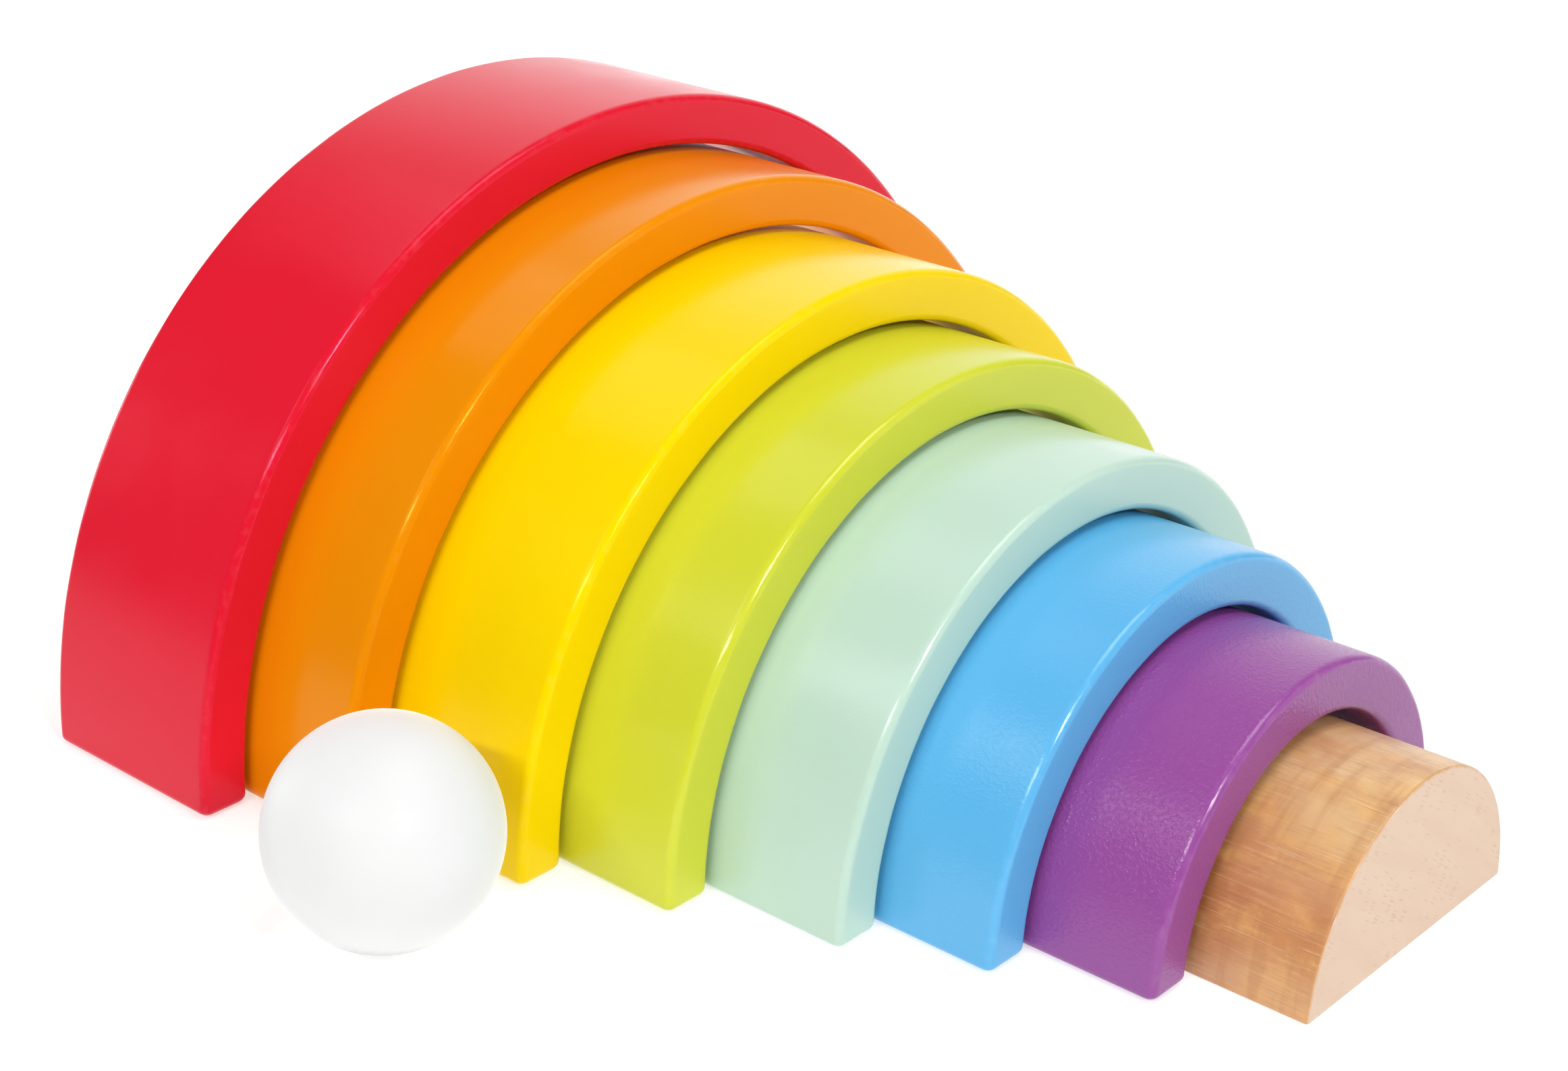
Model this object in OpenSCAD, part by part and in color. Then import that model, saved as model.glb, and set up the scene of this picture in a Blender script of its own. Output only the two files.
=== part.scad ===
// Rainbow stacker: seven half-ring arches that nest round a half-round core block, and a loose ball.
// The arches share one axis and stand drawn out in front of each other, the largest at the back.

/* [Arches] */
// Outer radius of the largest arch, which is also its height
outer_r = 140; // [120:1:200]
// Thickness of every arch, measured across its bend
wall = 12.6; // [8:0.2:15]
// Running gap between one arch and the next
arch_gap = 1.4; // [0.4:0.1:2]
// Depth of every arch and of the core, front to back
depth = 56; // [30:1:90]
// Rounding of the long edges of an arch
edge_r = 2; // [0.5:0.1:3.5]
// Rounding round the sole of each foot
foot_r = 2.6; // [0.5:0.1:3.5]

/* [Core block] */
// Running gap between the smallest arch and the core
core_gap = 2.9; // [0.4:0.1:4]
// Rounding of the core's edges
core_edge_r = 0.8; // [0.3:0.1:2]

/* [Ball] */
// Diameter of the ball
ball_d = 51; // [45:0.5:60]
// Room between the ball and the side of the yellow arch, on the ground plan
ball_side_gap = 6.2; // [2:0.1:20]
// Room between the ball and the front of the orange arch, on the ground plan
ball_lead = 9.5; // [2:0.1:20]

/* [Set out] */
// How far the orange arch stands in front of the red one
orange_pull = 32; // [0:1:56]
// How far the yellow arch stands in front of the orange one
yellow_pull = 42; // [0:1:56]
// How far the green arch stands in front of the yellow one
green_pull = 31; // [0:1:56]
// How far the mint arch stands in front of the green one
mint_pull = 36; // [0:1:56]
// How far the blue arch stands in front of the mint one
blue_pull = 29; // [0:1:56]
// How far the purple arch stands in front of the blue one
purple_pull = 31; // [0:1:56]
// How far the core stands in front of the purple arch
core_pull = 27; // [0:1:56]

/* [Hidden] */

// The arches' colours in the order in which they nest, from the largest inwards
colours = ["red", "orange", "yellow", "green", "mint", "blue", "purple"];
function place_of(name) = search([name], colours)[0];

// Each pull belongs to the place one further in than its position in the list
pulls = [orange_pull, yellow_pull, green_pull, mint_pull, blue_pull, purple_pull, core_pull];

// How far a rounding starts outside the face that it eases, so that the two surfaces cross cleanly
sole_lap = 0.1;
// How far cutting shapes run past what they cut
overrun = 1;
$fn = 128;

// Radii of the arch at a place
function arch_outer(place) = outer_r - place * (wall + arch_gap);
function arch_inner(place) = arch_outer(place) - wall;

// Radius of the core, which follows the inside of the smallest arch
core_r = arch_inner(place_of("purple")) - core_gap;

// Distance from the middle of the core back to the middle of the piece at a place
function set_back(place) = place == len(pulls) ? 0 : pulls[place] + set_back(place + 1);

// How far a bend of this radius leans inwards over the height of a sole's rounding
function lean(bend_r, sole_r) = bend_r - sqrt(bend_r * bend_r - sole_r * sole_r);

// Where the ball stands, beside the yellow arch and ahead of the orange one
ball_x = -(arch_outer(place_of("yellow")) + ball_side_gap + ball_d / 2);
ball_y = set_back(place_of("orange")) - depth / 2 - ball_lead - ball_d / 2;

// Rectangle with rounded corners, from its lower left corner
module rounded_section(w, h, r) {
    translate([r, 0])
        square([w - 2 * r, h]);
    translate([0, r])
        square([w, h - 2 * r]);
    for (x = [r, w - r], y = [r, h - r])
        translate([x, y])
            circle(r);
}

// Sweeps a section through half a turn over the ground: its first axis is the radius, its second the depth
module half_turn() {
    translate([0, depth / 2, 0])
        rotate([90, 0, 0])
            rotate_extrude(angle = 180)
                children();
}

// What is sanded off round a sole that spans x_low to x_high: a slab less a pillow-shaped pad
module sole_waste(x_low, x_high, r) {
    pad_w = x_high - x_low + 2 * sole_lap;
    pad_d = depth + 2 * sole_lap;
    pad_h = 3 * r;
    translate([x_low - sole_lap, -pad_d / 2, -sole_lap])
        difference() {
            translate([-overrun, -overrun, -overrun])
                cube([pad_w + 2 * overrun, pad_d + 2 * overrun, r + overrun]);
            intersection() {
                translate([0, pad_d, 0])
                    rotate([90, 0, 0])
                        linear_extrude(pad_d)
                            rounded_section(pad_w, pad_h, r);
                rotate([90, 0, 90])
                    linear_extrude(pad_w)
                        rounded_section(pad_d, pad_h, r);
            }
        }
}

// One arch of the set, standing at its place
module arch(name) {
    place = place_of(name);
    outer = arch_outer(place);
    inner = arch_inner(place);
    translate([0, set_back(place), 0])
        difference() {
            half_turn()
                translate([inner, 0])
                    rounded_section(wall, depth, edge_r);
            for (turn = [0, 180])
                rotate(turn)
                    sole_waste(inner - lean(inner, foot_r), outer, foot_r);
        }
}

module red_arch() {
    color("#e11f30")
        arch("red");
}

module orange_arch() {
    color("#f18506")
        arch("orange");
}

module yellow_arch() {
    color("#fed303")
        arch("yellow");
}

module green_arch() {
    color("#d3d73c")
        arch("green");
}

module mint_arch() {
    color("#c0dfca")
        arch("mint");
}

module blue_arch() {
    color("#60b4e4")
        arch("blue");
}

module purple_arch() {
    color("#9e5ca2")
        arch("purple");
}

// Half-round block of bare wood in the middle of the set
module core_block() {
    color("#d9a36f")
        difference() {
            half_turn()
                intersection() {
                    translate([-core_r, 0])
                        rounded_section(2 * core_r, depth, core_edge_r);
                    square([core_r, depth]);
                }
            sole_waste(-core_r, core_r, core_edge_r);
        }
}

module ball() {
    color("#f6f6f4")
        translate([ball_x, ball_y, ball_d / 2])
            sphere(d = ball_d);
}

red_arch();
orange_arch();
yellow_arch();
green_arch();
mint_arch();
blue_arch();
purple_arch();
core_block();
ball();
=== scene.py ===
"""Looks of the rainbow stacker: lacquered arches, a bare wooden core and a white ball on a pale floor."""

import math
from collections import namedtuple

import bmesh
import bpy
from mathutils import Matrix, Vector, noise


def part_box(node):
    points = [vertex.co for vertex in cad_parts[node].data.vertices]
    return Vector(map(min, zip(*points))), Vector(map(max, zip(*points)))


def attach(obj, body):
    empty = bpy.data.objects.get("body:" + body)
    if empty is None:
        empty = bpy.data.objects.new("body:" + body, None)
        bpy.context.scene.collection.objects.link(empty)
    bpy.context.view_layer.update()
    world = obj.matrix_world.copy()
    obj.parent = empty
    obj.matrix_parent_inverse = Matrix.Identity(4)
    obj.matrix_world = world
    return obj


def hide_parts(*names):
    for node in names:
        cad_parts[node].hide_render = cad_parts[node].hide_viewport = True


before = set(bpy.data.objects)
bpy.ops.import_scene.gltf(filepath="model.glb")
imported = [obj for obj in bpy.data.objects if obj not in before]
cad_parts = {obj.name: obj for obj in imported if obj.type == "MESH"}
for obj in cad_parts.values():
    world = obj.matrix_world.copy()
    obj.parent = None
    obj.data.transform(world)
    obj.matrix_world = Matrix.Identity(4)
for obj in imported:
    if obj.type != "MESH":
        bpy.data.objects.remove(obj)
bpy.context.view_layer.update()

MM = 0.001

# Sizes of the turned and sanded wood
WALL = 12.6 * MM
EDGE_R = 2.0 * MM
FOOT_R = 2.6 * MM
SOLE_LAP = 0.1 * MM
CORE_EDGE_R = 0.8 * MM

# How far sanding by hand leaves the surface and the edges uneven
SANDING_DEPTH = 0.03 * MM
SANDING_WAVE = 16 * MM
EDGE_UNEVEN_SHARE = 0.07
EDGE_WAVE = 9 * MM
EDGES_APART = 40 * MM
SEED_STEPS = (7.3, 3.1, 5.7)

# Fineness of the meshes
CORNER_STEPS = 8
FOOT_STEPS = 7
FOOT_CROWDING = 1.4
ARC_STEPS = 200
DEPTH_STEPS = 14
WALL_STEPS = 4
AXIS_STEPS = 4
RING_STEPS = 10
RING_CROWDING = 1.3
BALL_STEPS = 48
SAME_POINT_DIGITS = 5
WELD = 0.00001 * MM
FLAT_WEIGHT = 60

# A point of a section: its radius and depth, the outward way in both, and its share of the edge's look
SectionPoint = namedtuple("SectionPoint", "radius depth out_r out_d edge")
MOSTLY_OUTWARD = 0.5

# A grain of noise: its waves per metre on each axis, its slant in radians, its detail and its roughness
Grain = namedtuple("Grain", "waves slant detail roughness", defaults=(0.0, 2.0, 0.5))

# A stain, or a painted shade: its colour, the values between which it grows, and its greatest share
StainOrShade = namedtuple("StainOrShade", "rgb start full share")

# A relief: the strength of its bump and the depth of its hollows
Relief = namedtuple("Relief", "strength depth")

# A lacquer: its colour, its colour on rubbed edges, the tint and strength of its gloss, its roughness,
# and its shares of orange peel, grit and pale bloom
Lacquer = namedtuple("Lacquer", "rgb rubbed_rgb tint gloss roughness peel grit bloom")
LACQUERS = {
    "red": Lacquer(
        rgb=(0.752, 0.010, 0.029), rubbed_rgb=(0.90, 0.25, 0.28), tint=(0.70, 0.42, 0.66),
        gloss=0.32, roughness=0.19, peel=0.8, grit=0.2, bloom=0.0),
    "orange": Lacquer(
        rgb=(0.855, 0.272, 0.001), rubbed_rgb=(0.95, 0.50, 0.10), tint=(0.95, 0.58, 0.10),
        gloss=0.40, roughness=0.18, peel=0.9, grit=0.2, bloom=0.0),
    "yellow": Lacquer(
        rgb=(0.975, 0.690, 0.000), rubbed_rgb=(0.98, 0.80, 0.25), tint=(0.95, 0.65, 0.16),
        gloss=0.40, roughness=0.19, peel=0.8, grit=0.2, bloom=0.0),
    "green": Lacquer(
        rgb=(0.645, 0.678, 0.033), rubbed_rgb=(0.78, 0.82, 0.35), tint=(1.00, 1.00, 0.85),
        gloss=0.50, roughness=0.20, peel=0.8, grit=0.3, bloom=0.0),
    "mint": Lacquer(
        rgb=(0.530, 0.720, 0.600), rubbed_rgb=(0.80, 0.90, 0.82), tint=(1.00, 1.00, 1.00),
        gloss=0.50, roughness=0.21, peel=0.8, grit=0.3, bloom=0.0),
    "blue": Lacquer(
        rgb=(0.112, 0.465, 0.815), rubbed_rgb=(0.55, 0.80, 0.95), tint=(1.00, 1.00, 1.00),
        gloss=0.50, roughness=0.21, peel=1.0, grit=1.3, bloom=0.0),
    "purple": Lacquer(
        rgb=(0.312, 0.070, 0.320), rubbed_rgb=(0.72, 0.45, 0.72), tint=(1.00, 1.00, 1.00),
        gloss=0.50, roughness=0.22, peel=1.2, grit=2.8, bloom=0.0),
    "white": Lacquer(
        rgb=(0.800, 0.800, 0.797), rubbed_rgb=(0.93, 0.93, 0.93), tint=(1.00, 1.00, 1.00),
        gloss=0.20, roughness=0.42, peel=0.3, grit=0.1, bloom=0.9),
}
ARCHES = ("red", "orange", "yellow", "green", "mint", "blue", "purple")

# What all lacquers share. A span gives the noise at which a thing starts and ends, and its values there
LACQUER_GRAINS = {
    "shade": Grain((22.0, 22.0, 22.0)),
    "fibre": Grain((110.0, 1500.0, 1100.0), detail=3.0),
    "peel": Grain((620.0, 950.0, 700.0), detail=1.0),
    "lumps": Grain((1300.0, 900.0, 1100.0), detail=2.0, roughness=0.6),
    "nicks": Grain((360.0, 2600.0, 2000.0), detail=3.0, roughness=0.6),
    "wear": Grain((420.0, 420.0, 420.0), detail=3.0),
    "clouding": Grain((60.0, 60.0, 60.0), detail=3.0),
}
SHADE_LOW, SHADE_HIGH, FIBRE_SHADE = 0.97, 1.02, 0.88
FIBRE_SPAN = (0.55, 0.80, 0.0, 0.06)
LUMP_SPAN = (0.42, 0.72)
WEAR_SPAN = (0.45, 0.75, 0.0, 0.08)
CLOUDING_SPAN = (0.3, 0.7)
CLOUDING = 0.05
EDGE_SMOOTHER = 0.09
PEEL_RELIEF = Relief(0.05, 0.10 * MM)
NICK_RELIEF = Relief(0.55, 0.10 * MM)
GRIT_RELIEF = Relief(0.30, 0.08 * MM)

# Round side of the core: the first axis of its grains runs round the bend, the second along the block
# Base colours by height: painted shade low down, painted light on the crown
ROUND_SHADED_LOW_RGB = (0.622, 0.270, 0.094)
ROUND_LIT_CROWN_RGB = (0.810, 0.555, 0.270)
ROUND_GRAINS = {
    "hair": Grain((3000.0, 55.0, 1.0), 0.015, 3.0, 0.65),
    "tufts": Grain((75.0, 22.0, 1.0)),
    "fine": Grain((1500.0, 38.0, 1.0), -0.02, 4.0, 0.65),
    "bands": Grain((30.0, 260.0, 1.0), 0.05, 3.0),
    "blotches": Grain((85.0, 42.0, 1.0), 0.3, 5.0, 0.6),
    "warmth": Grain((130.0, 75.0, 1.0), -0.2, 5.0, 0.6),
    "dust": Grain((420.0, 420.0, 1.0)),
    "dusty": Grain((120.0, 120.0, 120.0)),
    "rim": Grain((300.0, 300.0, 300.0), detail=3.0),
}
ROUND_STAINS_AND_SHADE = {
    # Painted shade: darker deeper along the block, towards the purple arch over the core
    "painted_shade_inward": StainOrShade((0.44, 0.150, 0.050), -24 * MM, 6 * MM, 0.85),
    "blotches": StainOrShade((0.50, 0.180, 0.058), 0.36, 0.70, 0.74),
    "near_floor": StainOrShade((0.84, 0.560, 0.300), 15 * MM, 2 * MM, 0.35),
    "warmth": StainOrShade((0.82, 0.450, 0.140), 0.42, 0.74, 0.66),
    "bands": StainOrShade((0.50, 0.205, 0.070), 0.46, 0.68, 0.40),
    "dark_streaks": StainOrShade((0.40, 0.145, 0.055), 0.54, 0.72, 0.32),
    "pale_streaks": StainOrShade((0.90, 0.680, 0.420), 0.44, 0.30, 0.18),
    "dark_hair": StainOrShade((0.38, 0.150, 0.060), 0.58, 0.70, 0.34),
    "pale_hair": StainOrShade((0.94, 0.820, 0.660), 0.42, 0.32, 0.60),
    "dust": StainOrShade((0.95, 0.900, 0.820), 0.07, 0.0, 1.0),
    "rim": StainOrShade((0.60, 0.290, 0.100), 0.25, 0.6, 0.75),
}
# Heights over which the painted light on the crown fades into the painted shade low down, made uneven by the
# blotches
LIT_CROWN_UNEVEN = 12 * MM
LIT_CROWN_SPAN = (25 * MM, 47 * MM)
# How the painted shade towards the arch thins out on the crown
PAINTED_SHADE_CROWN_SPAN = (0.0, 1.0, 1.0, 0.28)
TUFT_SPAN = (0.42, 0.66)
DUSTY_SPAN = (0.60, 0.72, 0.0, 0.5)
ROUND_ROUGHNESS_SPAN = (0.3, 0.7, 0.38, 0.54)
ROUND_GLOSS, ROUND_COAT, ROUND_COAT_ROUGHNESS = 0.5, 0.4, 0.28
HAIR_RELIEF = Relief(0.30, 0.12 * MM)
STREAK_RELIEF = Relief(0.15, 0.15 * MM)

# Flat sides of the core: the first axis of their grains runs along the slanting grain of the wood
FLAT_LOW_RGB = (0.745, 0.545, 0.405)
FLAT_HIGH_RGB = (0.795, 0.612, 0.474)
FLAT_SLANT = Grain((1.0, 1.0, 1.0), 0.61)
FLAT_GRAINS = {
    "wavy": Grain((45.0, 90.0, 1.0), detail=3.0),
    "rings": Grain((16.0, 34.0, 1.0)),
    "fibre": Grain((90.0, 1300.0, 1.0), detail=4.0, roughness=0.6),
    "pores": Grain((240.0, 2700.0, 1.0)),
    "crowd": Grain((50.0, 80.0, 1.0)),
    "rim": Grain((300.0, 300.0, 300.0), detail=3.0),
}
FLAT_STAINS = {
    "rings": StainOrShade((0.72, 0.50, 0.37), 0.45, 1.0, 0.20),
    "fibre": StainOrShade((0.73, 0.50, 0.36), 0.50, 0.75, 0.10),
    "pores": StainOrShade((0.47, 0.29, 0.20), 0.36, 0.20, 0.34),
    "rim": StainOrShade((0.62, 0.33, 0.13), 0.3, 0.6, 0.6),
}
RING_WAVE = {"Scale": 1.0, "Distortion": 7.0, "Detail": 2.0, "Detail Scale": 0.5}
CROWD_SPAN = (0.34, 0.68, 0.0, 0.42)
KEPT_SPAN = (0.97, 1.14)
FLAT_ROUGHNESS_SPAN = (0.3, 0.7, 0.52, 0.66)
FLAT_GLOSS = 0.3
FIBRE_RELIEF = Relief(0.12, 0.15 * MM)
PORE_RELIEF = Relief(0.25, 0.15 * MM)

# Where the camera stands: the photo's view of the row
CAMERA_TARGET = Vector((30.829, 175.788, 23.374)) * MM
CAMERA_DISTANCE = 707.13 * MM
CAMERA_AZIMUTH = math.radians(-49.113)
CAMERA_ELEVATION = math.radians(23.887)
CAMERA_ROLL = math.radians(1.011)
CAMERA_LENS = 62.03
SENSOR_WIDTH = 36.0

# The studio: a pale floor, a dim room with one bright side, and a pale backdrop
FLOOR_REACH = 14.0
FLOOR_DROP = 0.1 * MM
STUDIO_MIDDLE = Vector((0.0, 130.0, 50.0)) * MM
ROOM_DARK = 0.10
ROOM_BRIGHT = 1.25
ROOM_BRIGHT_SIDE = Vector((0.80, 0.54, 0.26)).normalized()
ROOM_SPAN = (0.60, 1.0, ROOM_DARK, ROOM_BRIGHT)
BACKDROP = 0.95

# The floor's paper, and its glow over the distance from the middle: as it looks and as it lights the set,
# which far off is weak on the left and strong on the right
PAPER_GRAIN = Grain((6.0, 6.0, 6.0))
PAPER_LOW, PAPER_HIGH, PAPER_ROUGHNESS = 0.58, 0.62, 0.9
LOOK_SPAN = (0.15, 1.3, 0.56, 0.92)
SHINE_SPAN = (0.35, 1.3, 0.50)
FAR_SHINE_SPAN = (-0.3, 0.3, 0.10, 1.20)

# Soft boxes: the way to each from the middle of the set, its distance, its two sides and its power
SoftBox = namedtuple("SoftBox", "way distance width height power")
SOFT_BOXES = {
    "front_box": SoftBox(Vector((-0.28, -0.77, 0.57)), 1.5, 0.24, 0.24, 8.1),
    "left_box": SoftBox(Vector((-0.80, -0.12, 0.58)), 1.5, 0.80, 0.07, 7.2),
    "top_box": SoftBox(Vector((0.10, -0.25, 0.96)), 1.7, 0.90, 0.90, 11.0),
    "side_box": SoftBox(Vector((-0.66, 0.44, 0.61)), 1.5, 0.38, 0.38, 1.3),
    "right_box": SoftBox(Vector((0.62, -0.72, 0.32)), 1.6, 0.90, 0.90, 2.2),
    "back_box": SoftBox(Vector((0.00, 0.60, 0.81)), 1.6, 0.60, 0.60, 1.3),
    "rim_box": SoftBox(Vector((-0.35, 0.93, 0.15)), 1.6, 0.50, 0.50, 4.0),
}


# Node building

def add_node(tree, kind, values=None, **settings):
    """A new shader node with these settings, and these values on its input sockets."""
    made = tree.nodes.new(kind)
    for key, value in settings.items():
        setattr(made, key, value)
    for key, value in (values or {}).items():
        put(tree, value, made.inputs[key])
    return made


def put(tree, value, socket):
    """Links an output to a socket, or sets the socket to a plain value."""
    if isinstance(value, bpy.types.NodeSocket):
        tree.links.new(value, socket)
    else:
        socket.default_value = value


def colour(rgb, share=1.0):
    """A colour for a socket, made lighter or darker by a share."""
    return tuple(min(1.0, channel * share) for channel in rgb) + (1.0,)


def grey(tone):
    """A grey for a colour socket."""
    return colour((tone, tone, tone))


def mix(tree, factor, low, high):
    """Colour between low and high."""
    made = add_node(tree, "ShaderNodeMix", data_type="RGBA")
    for socket, value in ((made.inputs[0], factor), (made.inputs[6], low), (made.inputs[7], high)):
        put(tree, value, socket)
    return made.outputs[2]


def calc(tree, operation, first, second):
    """One sum of two numbers."""
    return add_node(tree, "ShaderNodeMath", {0: first, 1: second}, operation=operation).outputs[0]


def remap(tree, value, low, high, to_low=0.0, to_high=1.0):
    """A number smoothly carried from one span to another, and held at its ends."""
    values = {"Value": value, "From Min": low, "From Max": high, "To Min": to_low, "To Max": to_high}
    return add_node(tree, "ShaderNodeMapRange", values, interpolation_type="SMOOTHSTEP").outputs[0]


def stretched(tree, vector, grain):
    """Coordinates scaled to a grain's waves, and turned by its slant in the plane of the first two axes."""
    values = {"Vector": vector, "Scale": grain.waves, "Rotation": (0.0, 0.0, grain.slant)}
    return add_node(tree, "ShaderNodeMapping", values).outputs[0]


def cloud(tree, vector, grain):
    """Soft noise between 0 and 1, of this grain."""
    values = {
        "Vector": stretched(tree, vector, grain), "Scale": 1.0,
        "Detail": grain.detail, "Roughness": grain.roughness,
    }
    return add_node(tree, "ShaderNodeTexNoise", values).outputs["Fac"]


def cells(tree, vector, grain):
    """Points scattered on a plane: the distance to the nearest, and its own chance between 0 and 1."""
    values = {"Vector": stretched(tree, vector, grain), "Scale": 1.0}
    made = add_node(tree, "ShaderNodeTexVoronoi", values, voronoi_dimensions="2D")
    chance = add_node(tree, "ShaderNodeSeparateColor", {0: made.outputs["Color"]}).outputs[0]
    return made.outputs["Distance"], chance


def attribute(tree, name):
    """A number that the mesh carries at its points."""
    return add_node(tree, "ShaderNodeAttribute", attribute_name=name).outputs["Fac"]


def part_of(tree, vector, axis):
    """One part of a vector."""
    return add_node(tree, "ShaderNodeSeparateXYZ", {0: vector}).outputs[axis]


def bump(tree, height, relief, under=None, share=1.0):
    """The normal bent by a height, over one that is bent already."""
    values = {"Height": height, "Strength": relief.strength * share, "Distance": relief.depth}
    if under is not None:
        values["Normal"] = under
    return add_node(tree, "ShaderNodeBump", values).outputs[0]


def stain_and_shade(tree, base, stains, sources, limits):
    """A base colour under stains and painted shade laid on in turn, each grown from its source and held back
    by its limit.
    """
    for name, mark in stains.items():
        share = remap(tree, sources[name], mark.start, mark.full, 0.0, mark.share)
        if name in limits:
            share = calc(tree, "MULTIPLY", share, limits[name])
        base = mix(tree, share, base, colour(mark.rgb))
    return base


def new_material(name):
    """A material with an empty surface shader, and its tree, shader, and two kinds of coordinates."""
    material = bpy.data.materials.new(name)
    material.use_nodes = True
    tree = material.node_tree
    tree.nodes.clear()
    shader = add_node(tree, "ShaderNodeBsdfPrincipled")
    output = add_node(tree, "ShaderNodeOutputMaterial")
    tree.links.new(shader.outputs[0], output.inputs["Surface"])
    coordinates = add_node(tree, "ShaderNodeTexCoord").outputs
    return material, tree, shader, coordinates["Object"], coordinates["UV"]


# Materials

def lacquer(name, finish, solid_grain=False):
    """Satin lacquer sprayed on sanded wood: nearly even, with fine orange peel and grit and paler edges."""
    material, tree, shader, place, run = new_material(name)
    along = place if solid_grain else run
    edge = attribute(tree, "edge")
    shade = cloud(tree, place, LACQUER_GRAINS["shade"])
    wear = cloud(tree, place, LACQUER_GRAINS["wear"])
    clouding = cloud(tree, place, LACQUER_GRAINS["clouding"])
    fibre = cloud(tree, along, LACQUER_GRAINS["fibre"])
    peeling = cloud(tree, along, LACQUER_GRAINS["peel"])
    lumps = cloud(tree, along, LACQUER_GRAINS["lumps"])
    grit = calc(tree, "MULTIPLY", remap(tree, lumps, *LUMP_SPAN), calc(tree, "SUBTRACT", 1.0, edge))
    nicks = calc(tree, "MULTIPLY", cloud(tree, along, LACQUER_GRAINS["nicks"]), edge)

    rubbed = calc(tree, "MULTIPLY", edge, remap(tree, wear, *WEAR_SPAN))
    coat = mix(tree, shade, colour(finish.rgb, SHADE_LOW), colour(finish.rgb, SHADE_HIGH))
    coat = mix(tree, remap(tree, fibre, *FIBRE_SPAN), coat, colour(finish.rgb, FIBRE_SHADE))
    coat = mix(tree, rubbed, coat, colour(finish.rubbed_rgb))
    put(tree, coat, shader.inputs["Base Color"])

    clouded = remap(tree, clouding, *CLOUDING_SPAN, finish.roughness, finish.roughness + CLOUDING)
    smoother = calc(tree, "MULTIPLY", edge, EDGE_SMOOTHER)
    put(tree, calc(tree, "SUBTRACT", clouded, smoother), shader.inputs["Roughness"])
    shader.inputs["Specular IOR Level"].default_value = finish.gloss
    shader.inputs["Specular Tint"].default_value = colour(finish.tint)
    shader.inputs["Sheen Weight"].default_value = finish.bloom

    normal = bump(tree, peeling, PEEL_RELIEF, share=finish.peel)
    normal = bump(tree, nicks, NICK_RELIEF, normal)
    put(tree, bump(tree, grit, GRIT_RELIEF, normal, finish.grit), shader.inputs["Normal"])
    return material


def wood_round_side(name):
    """Round side of the core: tan wood sanded along the block, with streaks, blotches and faint bands,
    painted light on its crown, and painted shade low down and towards the arch over it.
    """
    material, tree, shader, place, run = new_material(name)
    height, depth = part_of(tree, place, "Z"), part_of(tree, run, "Y")
    hair, tufts, fine, bands, blotches, warmth = (
        cloud(tree, run, ROUND_GRAINS[key])
        for key in ("hair", "tufts", "fine", "bands", "blotches", "warmth")
    )
    near_dust, _ = cells(tree, run, ROUND_GRAINS["dust"])
    dusty = remap(tree, cloud(tree, place, ROUND_GRAINS["dusty"]), *DUSTY_SPAN)
    # Painted light on the crown and painted shade low down, by height
    uneven_height = calc(tree, "ADD", height, calc(tree, "MULTIPLY", blotches, LIT_CROWN_UNEVEN))
    lit_crown = remap(tree, uneven_height, *LIT_CROWN_SPAN)

    # The painted shade grows with depth along the block, towards the arch over the core
    sources = {
        "painted_shade_inward": depth, "blotches": blotches, "near_floor": height, "warmth": warmth, "bands": bands,
        "dark_streaks": fine, "pale_streaks": fine, "dark_hair": hair, "pale_hair": hair,
        "dust": near_dust, "rim": cloud(tree, place, ROUND_GRAINS["rim"]),
    }
    limits = {
        "painted_shade_inward": remap(tree, lit_crown, *PAINTED_SHADE_CROWN_SPAN), "pale_hair": remap(tree, tufts, *TUFT_SPAN),
        "dust": dusty, "rim": attribute(tree, "edge"),
    }
    base = mix(tree, lit_crown, colour(ROUND_SHADED_LOW_RGB), colour(ROUND_LIT_CROWN_RGB))
    put(tree, stain_and_shade(tree, base, ROUND_STAINS_AND_SHADE, sources, limits), shader.inputs["Base Color"])

    put(tree, remap(tree, fine, *ROUND_ROUGHNESS_SPAN), shader.inputs["Roughness"])
    shader.inputs["Specular IOR Level"].default_value = ROUND_GLOSS
    shader.inputs["Coat Weight"].default_value = ROUND_COAT
    shader.inputs["Coat Roughness"].default_value = ROUND_COAT_ROUGHNESS
    normal = bump(tree, hair, HAIR_RELIEF)
    put(tree, bump(tree, fine, STREAK_RELIEF, normal), shader.inputs["Normal"])
    return material


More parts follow.
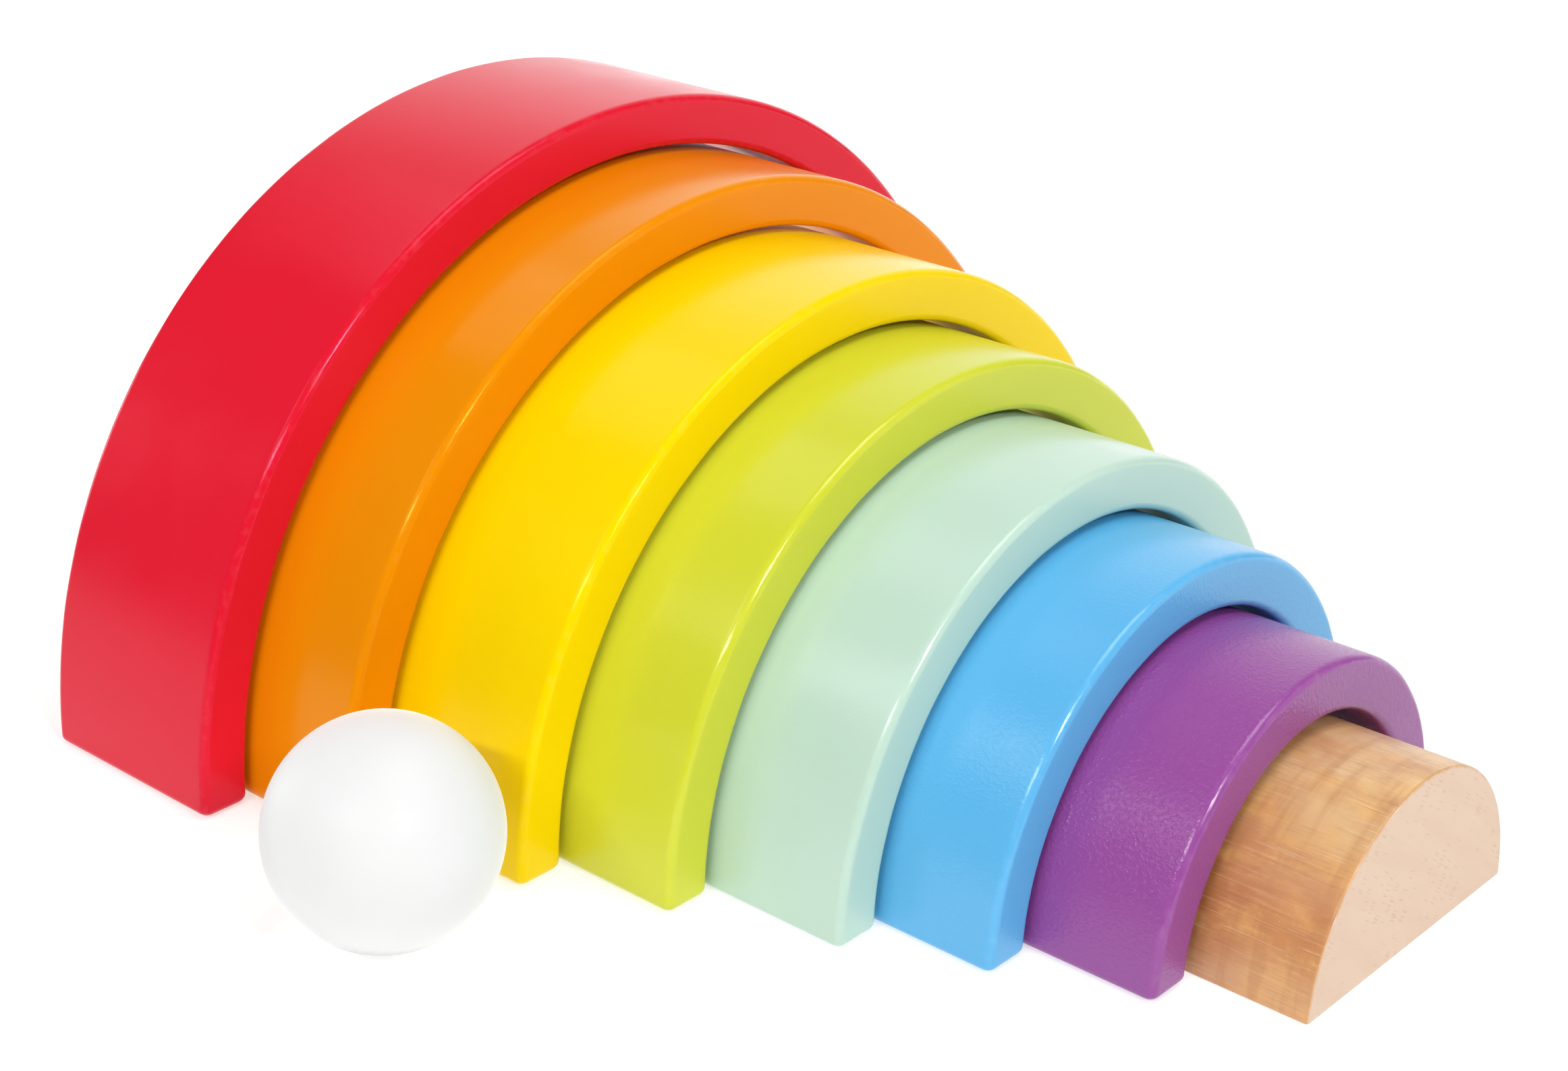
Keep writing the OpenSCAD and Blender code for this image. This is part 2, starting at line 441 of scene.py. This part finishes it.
def wood_flat_side(name):
    """Flat sides of the core: pale planed wood, with short pores along the grain and faint growth rings."""
    material, tree, shader, place, run = new_material(name)
    slanted = stretched(tree, run, FLAT_SLANT)
    wavy, fibre, crowd = (cloud(tree, slanted, FLAT_GRAINS[key]) for key in ("wavy", "fibre", "crowd"))
    ring_values = {"Vector": stretched(tree, slanted, FLAT_GRAINS["rings"]), **RING_WAVE}
    rings = add_node(tree, "ShaderNodeTexWave", ring_values, bands_direction="Y").outputs["Fac"]
    near_pore, chance = cells(tree, slanted, FLAT_GRAINS["pores"])
    kept = remap(tree, calc(tree, "ADD", chance, remap(tree, crowd, *CROWD_SPAN)), *KEPT_SPAN)

    rim = cloud(tree, place, FLAT_GRAINS["rim"])
    sources = {"rings": rings, "fibre": fibre, "pores": near_pore, "rim": rim}
    limits = {"pores": kept, "rim": attribute(tree, "edge")}
    base = mix(tree, wavy, colour(FLAT_LOW_RGB), colour(FLAT_HIGH_RGB))
    put(tree, stain_and_shade(tree, base, FLAT_STAINS, sources, limits), shader.inputs["Base Color"])

    put(tree, remap(tree, fibre, *FLAT_ROUGHNESS_SPAN), shader.inputs["Roughness"])
    shader.inputs["Specular IOR Level"].default_value = FLAT_GLOSS
    pore = FLAT_STAINS["pores"]
    hollows = calc(tree, "MULTIPLY", remap(tree, near_pore, pore.start, pore.full), kept)
    normal = bump(tree, fibre, FIBRE_RELIEF)
    solid = calc(tree, "SUBTRACT", 1.0, hollows)
    put(tree, bump(tree, solid, PORE_RELIEF, normal), shader.inputs["Normal"])
    return material


def pale_floor(name):
    """Pale seamless floor that glows a little, as an evenly lit studio table does."""
    material, tree, shader, place, _ = new_material(name)
    tone = mix(tree, cloud(tree, place, PAPER_GRAIN), grey(PAPER_LOW), grey(PAPER_HIGH))
    put(tree, tone, shader.inputs["Base Color"])
    shader.inputs["Roughness"].default_value = PAPER_ROUGHNESS
    shader.inputs["Specular IOR Level"].default_value = 0.0
    shader.inputs["Emission Color"].default_value = grey(1.0)
    distance = add_node(tree, "ShaderNodeVectorMath", {0: place}, operation="LENGTH").outputs["Value"]
    seen = add_node(tree, "ShaderNodeLightPath").outputs["Is Camera Ray"]
    unseen = calc(tree, "SUBTRACT", 1.0, seen)
    far_shine = remap(tree, part_of(tree, place, "X"), *FAR_SHINE_SPAN)
    looks = calc(tree, "MULTIPLY", remap(tree, distance, *LOOK_SPAN), seen)
    shines = calc(tree, "MULTIPLY", remap(tree, distance, *SHINE_SPAN, far_shine), unseen)
    put(tree, calc(tree, "ADD", looks, shines), shader.inputs["Emission Strength"])
    return material


# Meshes

def sole_inset(height, sole_r):
    """How far a sole's rounding has eased the sides at a height over the floor."""
    rise = min(sole_r, max(0.0, height + SOLE_LAP))
    return max(0.0, sole_r - math.sqrt(sole_r ** 2 - (sole_r - rise) ** 2) - SOLE_LAP)


def unevenness(point, wave, seed):
    """Smooth noise from 0 to 1 at a point."""
    return 0.5 + 0.5 * noise.noise(point / wave + Vector([seed * step for step in SEED_STEPS]))


def station_angles(middle_r, sole_r):
    """Angles of the sections of a half turn, close together near the floor."""
    heights = [sole_r * (step / FOOT_STEPS) ** FOOT_CROWDING for step in range(FOOT_STEPS + 1)]
    foot = [math.asin(height / middle_r) for height in heights]
    span = math.pi - 2 * foot[-1]
    bend = [foot[-1] + span * step / ARC_STEPS for step in range(1, ARC_STEPS)]
    return foot + bend + [math.pi - angle for angle in reversed(foot)]


def corner_points(centre, radius, start):
    """A quarter circle of section points from a start angle on."""
    found = []
    for step in range(CORNER_STEPS + 1):
        turn = start + math.pi / 2 * step / CORNER_STEPS
        cos, sin = math.cos(turn), math.sin(turn)
        edge = math.sin(2 * (turn - start))
        found.append(SectionPoint(centre[0] + radius * cos, centre[1] + radius * sin, cos, sin, edge))
    return found


def flat_points(first, last, steps):
    """Section points between two corners, closer together near them, with the outward way of the flat."""
    found = []
    for step in range(1, steps):
        share = 0.5 - 0.5 * math.cos(math.pi * step / steps)
        radius = first.radius + (last.radius - first.radius) * share
        depth = first.depth + (last.depth - first.depth) * share
        found.append(SectionPoint(radius, depth, first.out_r, first.out_d, 0.0))
    return found


def arch_section(inner, outer, half_depth, radii):
    """Section of an arch: a rectangle in radius and depth with its four corners rounded."""
    corners = [
        corner_points((outer - radii[0], radii[0] - half_depth), radii[0], -math.pi / 2),
        corner_points((outer - radii[1], half_depth - radii[1]), radii[1], 0.0),
        corner_points((inner + radii[2], half_depth - radii[2]), radii[2], math.pi / 2),
        corner_points((inner + radii[3], radii[3] - half_depth), radii[3], math.pi),
    ]
    loop = []
    for place, corner in enumerate(corners):
        following = corners[(place + 1) % len(corners)]
        steps = DEPTH_STEPS if place % 2 == 0 else WALL_STEPS
        loop += corner + flat_points(corner[-1], following[0], steps)
    return loop


def core_section(radius, half_depth):
    """Half section of the core from the front's middle over the rim to the back's middle."""
    rim = radius - CORE_EDGE_R
    crowded = [(step / RING_STEPS) ** RING_CROWDING for step in range(RING_STEPS)]
    rings = [CORE_EDGE_R * step / AXIS_STEPS for step in range(AXIS_STEPS)]
    rings += [CORE_EDGE_R + (rim - CORE_EDGE_R) * share for share in crowded]
    half = [SectionPoint(ring, -half_depth, 0.0, -1.0, 0.0) for ring in rings]
    half += corner_points((rim, CORE_EDGE_R - half_depth), CORE_EDGE_R, -math.pi / 2)
    mirrored = [spot._replace(depth=-spot.depth, out_d=-spot.out_d) for spot in reversed(half)]
    return half + flat_points(half[-1], mirrored[0], DEPTH_STEPS) + mirrored


def mesh_object(name, vertices, faces, uvs, edges, materials, kinds=None):
    """A smooth mesh piece, with the run along and across each face as UVs, and edge shares at its points."""
    mesh = bpy.data.meshes.new(name)
    mesh.from_pydata(vertices, [], faces)
    layer = mesh.uv_layers.new(name="run")
    for corner, uv in zip(layer.data, (uv for face in uvs for uv in face)):
        corner.uv = uv
    mesh.attributes.new("edge", "FLOAT", "POINT").data.foreach_set("value", edges)
    for material in materials:
        mesh.materials.append(material)
    if kinds:
        mesh.polygons.foreach_set("material_index", kinds)
    mesh.shade_smooth()
    welded = bmesh.new()
    welded.from_mesh(mesh)
    bmesh.ops.remove_doubles(welded, verts=welded.verts, dist=WELD)
    welded.to_mesh(mesh)
    welded.free()
    piece = bpy.data.objects.new(name, mesh)
    bpy.context.scene.collection.objects.link(piece)
    return piece


def keep_flats_flat(piece):
    """Lets the large faces set the shading, so that the rounding doesn't bleed over them."""
    weighted = piece.modifiers.new("flats", "WEIGHTED_NORMAL")
    weighted.keep_sharp = True
    weighted.weight = FLAT_WEIGHT


def edge_radii(inner, outer, angle, seed):
    """Radii of an arch's four long edges at an angle, each sanded a little uneven."""
    radii = []
    for corner, radius in enumerate((outer, outer, inner, inner)):
        spot = Vector((radius * math.cos(angle), corner * EDGES_APART, radius * math.sin(angle)))
        radii.append(EDGE_R * (1 + EDGE_UNEVEN_SHARE * (2 * unevenness(spot, EDGE_WAVE, seed) - 1)))
    return radii


def arch_piece(node, seed, material):
    """One arch: a rounded section swept through half a turn, sanded uneven and eased round its soles."""
    low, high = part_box(node)
    outer, inner = high.z, high.z - WALL
    half_depth = (high.y - low.y) / 2
    middle_y, middle_r, half_wall = (low.y + high.y) / 2, (inner + outer) / 2, WALL / 2
    vertices, runs, edges = [], [], []
    angles = station_angles(middle_r, FOOT_R)
    for angle in angles:
        cos, sin = math.cos(angle), math.sin(angle)
        run, last = 0.0, None
        section = arch_section(inner, outer, half_depth, edge_radii(inner, outer, angle, seed))
        for radius, depth, out_r, out_d, edge in section:
            if last is not None:
                run += math.hypot(radius - last[0], depth - last[1])
            last = (radius, depth)
            ground = Vector((radius * cos, middle_y + depth, radius * sin))
            worn = SANDING_DEPTH * unevenness(ground, SANDING_WAVE, seed)
            radius -= out_r * worn
            depth -= out_d * worn
            eased = sole_inset(radius * sin, FOOT_R)
            radius = middle_r + (radius - middle_r) * (half_wall - eased) / half_wall
            depth *= (half_depth - eased) / half_depth
            vertices.append((radius * cos, middle_y + depth, radius * sin))
            runs.append((middle_r * angle, run))
            edges.append(edge)
    size = len(vertices) // len(angles)
    closing = (Vector(vertices[size - 1]) - Vector(vertices[0])).length
    faces, uvs = [], []
    for station in range(len(angles) - 1):
        here, there = station * size, (station + 1) * size
        for step in range(size):
            after = (step + 1) % size
            near, far = runs[here + step], runs[there + step]
            width = runs[here + after][1] - near[1] if after else closing
            faces.append((here + step, here + after, there + after, there + step))
            uvs.append((near, (near[0], near[1] + width), (far[0], far[1] + width), far))
    for sole in (tuple(reversed(range(size))), tuple(range(len(vertices) - size, len(vertices)))):
        faces.append(sole)
        uvs.append([vertices[corner][:2] for corner in sole])
    piece = mesh_object(node + "_lacquered", vertices, faces, uvs, edges, [material])
    keep_flats_flat(piece)
    return piece


def core_piece(node, seed, round_material, flat_material):
    """The half-round core, with one material on its round side and another on its flat sides and base."""
    low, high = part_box(node)
    radius, half_depth, middle_y = high.z, (high.y - low.y) / 2, (low.y + high.y) / 2
    section = core_section(radius, half_depth)
    vertices, runs, edges = [], [], []
    angles = station_angles(radius, CORE_EDGE_R)
    for angle in angles:
        cos, sin = math.cos(angle), math.sin(angle)
        for ring, depth, out_r, out_d, edge in section:
            ground = Vector((ring * cos, middle_y + depth, ring * sin))
            worn = SANDING_DEPTH * unevenness(ground, SANDING_WAVE, seed)
            ring -= out_r * worn
            depth -= out_d * worn
            eased = sole_inset(ring * sin, CORE_EDGE_R)
            x = ring * cos * (radius - eased) / radius
            depth *= (half_depth - eased) / half_depth
            vertices.append((x, middle_y + depth, ring * sin))
            runs.append((radius * angle, depth) if out_r > MOSTLY_OUTWARD else (x, ring * sin))
            edges.append(edge)
    size = len(section)
    first_round = AXIS_STEPS + RING_STEPS + CORNER_STEPS // 2
    round_steps = range(first_round, size - 1 - first_round)
    faces, kinds = [], []
    for station in range(len(angles) - 1):
        here, there = station * size, (station + 1) * size
        for step in range(size - 1):
            faces.append((here + step, here + step + 1, there + step + 1, there + step))
            kinds.append(0 if step in round_steps else 1)
    last = len(vertices) - size
    faces.append(tuple(reversed(range(size))) + tuple(range(last, last + size)))
    kinds.append(1)
    uvs = [[runs[corner] for corner in face] for face in faces]
    materials = [round_material, flat_material]
    piece = mesh_object(node + "_wood", vertices, faces, uvs, edges, materials, kinds)
    keep_flats_flat(piece)
    return piece


def ball_piece(node, seed, material):
    """The ball: six curved patches pressed onto a sphere, turned a little out of round."""
    low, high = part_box(node)
    centre, radius = (low + high) / 2, (high.z - low.z) / 2
    sides = [Matrix.Rotation(math.pi / 2 * turn, 3, "Z") for turn in range(4)]
    sides += [Matrix.Rotation(math.pi / 2, 3, "Y"), Matrix.Rotation(-math.pi / 2, 3, "Y")]
    slopes = [math.tan(math.pi / 2 * (step / BALL_STEPS - 0.5)) for step in range(BALL_STEPS + 1)]
    width = len(slopes)
    vertices, faces, uvs, found = [], [], [], {}
    for side in sides:
        grid, runs = [], []
        for along in slopes:
            for across in slopes:
                out = (side @ Vector((1.0, across, along))).normalized()
                key = tuple(round(part, SAME_POINT_DIGITS) for part in out)
                if key not in found:
                    worn = SANDING_DEPTH * unevenness(out * radius, SANDING_WAVE, seed)
                    found[key] = len(vertices)
                    vertices.append(tuple(centre + out * (radius - worn)))
                grid.append(found[key])
                runs.append((radius * math.atan(across), radius * math.atan(along)))
        for row in range(BALL_STEPS):
            for column in range(BALL_STEPS):
                first = row * width + column
                corners = (first, first + 1, first + width + 1, first + width)
                faces.append(tuple(grid[corner] for corner in corners))
                uvs.append([runs[corner] for corner in corners])
    return mesh_object(node + "_lacquered", vertices, faces, uvs, [0.0] * len(vertices), [material])


# The pieces

def dress(piece, node):
    """Puts a piece in the place of its CAD node, on the node's body, and hides the node."""
    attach(piece, node)
    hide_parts(node)


def make_pieces():
    """The seven arches, the core and the ball."""
    for seed, name in enumerate(ARCHES, 1):
        node, slot = name + "_arch", name + "_lacquer"
        dress(arch_piece(node, seed, lacquer(slot, LACQUERS[name])), node)
    woods = wood_round_side("wood_round_side"), wood_flat_side("wood_flat_side")
    dress(core_piece("core_block", len(ARCHES) + 1, *woods), "core_block")
    white = lacquer("white_lacquer", LACQUERS["white"], solid_grain=True)
    dress(ball_piece("ball", len(ARCHES) + 2, white), "ball")


# The studio

def make_floor():
    """A wide square floor just under the soles."""
    signs = ((-1, -1), (1, -1), (1, 1), (-1, 1))
    corners = [(x * FLOOR_REACH, y * FLOOR_REACH, -FLOOR_DROP) for x, y in signs]
    mesh = bpy.data.meshes.new("floor")
    mesh.from_pydata(corners, [], [(0, 1, 2, 3)])
    mesh.materials.append(pale_floor("floor_paper"))
    floor = bpy.data.objects.new("floor", mesh)
    bpy.context.scene.collection.objects.link(floor)


def make_world():
    """A dim room with a bright backdrop behind the set on its right; the room itself looks pale."""
    world = bpy.data.worlds.new("studio")
    world.use_nodes = True
    tree = world.node_tree
    tree.nodes.clear()
    way = add_node(tree, "ShaderNodeTexCoord").outputs["Generated"]
    facing = {0: way, 1: tuple(ROOM_BRIGHT_SIDE)}
    toward = add_node(tree, "ShaderNodeVectorMath", facing, operation="DOT_PRODUCT").outputs["Value"]
    light = remap(tree, toward, *ROOM_SPAN)
    seen = add_node(tree, "ShaderNodeLightPath").outputs["Is Camera Ray"]
    shown = mix(tree, seen, light, grey(BACKDROP))
    background = add_node(tree, "ShaderNodeBackground", {"Color": shown})
    output = add_node(tree, "ShaderNodeOutputWorld")
    tree.links.new(background.outputs[0], output.inputs["Surface"])
    bpy.context.scene.world = world


def make_lights():
    """The soft boxes, each turned to the middle of the set and not seen itself."""
    for name, box in SOFT_BOXES.items():
        data = bpy.data.lights.new(name, "AREA")
        data.shape = "RECTANGLE"
        data.size, data.size_y, data.energy = box.width, box.height, box.power
        light = bpy.data.objects.new(name, data)
        light.location = STUDIO_MIDDLE + box.way.normalized() * box.distance
        light.rotation_euler = box.way.to_track_quat("Z", "Y").to_euler()
        light.visible_camera = False
        bpy.context.scene.collection.objects.link(light)


def make_camera():
    """The camera, at the photo's angle and distance."""
    a, e = CAMERA_AZIMUTH, CAMERA_ELEVATION
    back = Vector((math.sin(a) * math.cos(e), -math.cos(a) * math.cos(e), math.sin(e)))
    level = Vector((math.cos(a), math.sin(a), 0.0))
    right = level * math.cos(CAMERA_ROLL) + back.cross(level) * math.sin(CAMERA_ROLL)
    data = bpy.data.cameras.new("camera")
    data.lens, data.sensor_width = CAMERA_LENS, SENSOR_WIDTH
    camera = bpy.data.objects.new("camera", data)
    turned = Matrix((right, back.cross(right), back)).transposed().to_4x4()
    camera.matrix_world = Matrix.Translation(CAMERA_TARGET + back * CAMERA_DISTANCE) @ turned
    bpy.context.scene.collection.objects.link(camera)
    bpy.context.scene.camera = camera


make_pieces()
make_floor()
make_world()
make_lights()
make_camera()
bpy.context.scene.view_settings.view_transform = "Standard"
